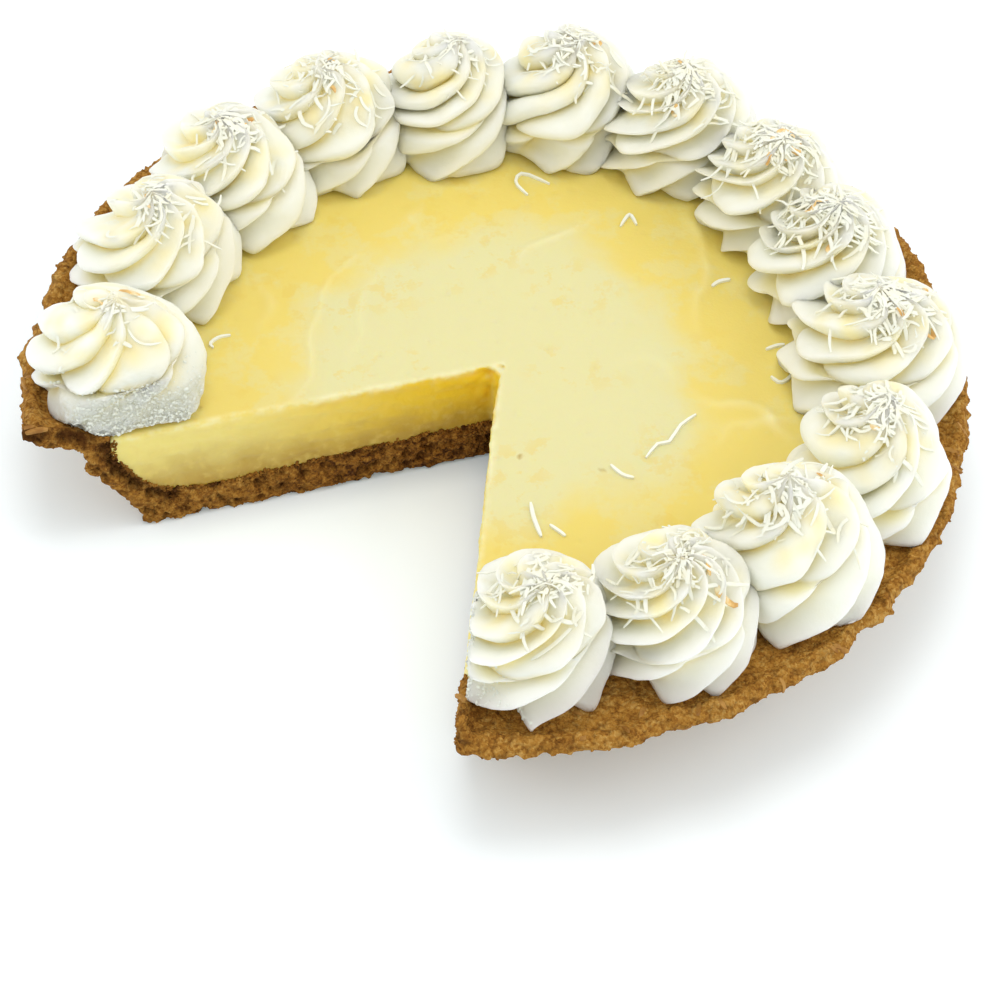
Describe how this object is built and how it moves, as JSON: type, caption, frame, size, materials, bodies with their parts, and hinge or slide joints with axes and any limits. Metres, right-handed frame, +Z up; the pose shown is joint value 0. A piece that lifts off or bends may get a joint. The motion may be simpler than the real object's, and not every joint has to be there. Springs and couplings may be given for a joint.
{
  "type": "lemon coconut pie",
  "caption": "Round deep pie with one wedge cut out: crumb crust, lemon custard and a ring of piped cream rosettes under coconut shreds, for tables, counters and food scenes.",
  "frame": {"origin": "centre of the pie's round base, on the surface that it stands on", "axes": "+Z up along the pie's axis; the missing wedge opens towards -Y and -X, from 198.6 to 267.5 degrees about +Z counted from +X"},
  "size_m": [0.2505, 0.2499, 0.07],
  "materials": {
    "crumb_crust": "baked crumbs pressed together, dry and rough",
    "lemon_custard": "set custard, soft satin sheen on top and a smooth cut face",
    "whipped_cream": "piped whipped cream, soft and slightly curdled along its edges"
  },
  "bodies": {
    "root": {"crust": "crumb_crust", "filling": "lemon_custard", "rosette_01": "whipped_cream", "rosette_02": "whipped_cream", "rosette_03": "whipped_cream", "rosette_04": "whipped_cream", "rosette_05": "whipped_cream", "rosette_06": "whipped_cream", "rosette_07": "whipped_cream", "rosette_08": "whipped_cream", "rosette_09": "whipped_cream", "rosette_10": "whipped_cream", "rosette_11": "whipped_cream", "rosette_12": "whipped_cream", "rosette_13": "whipped_cream", "rosette_14": "whipped_cream"}
  },
  "joints": []
}
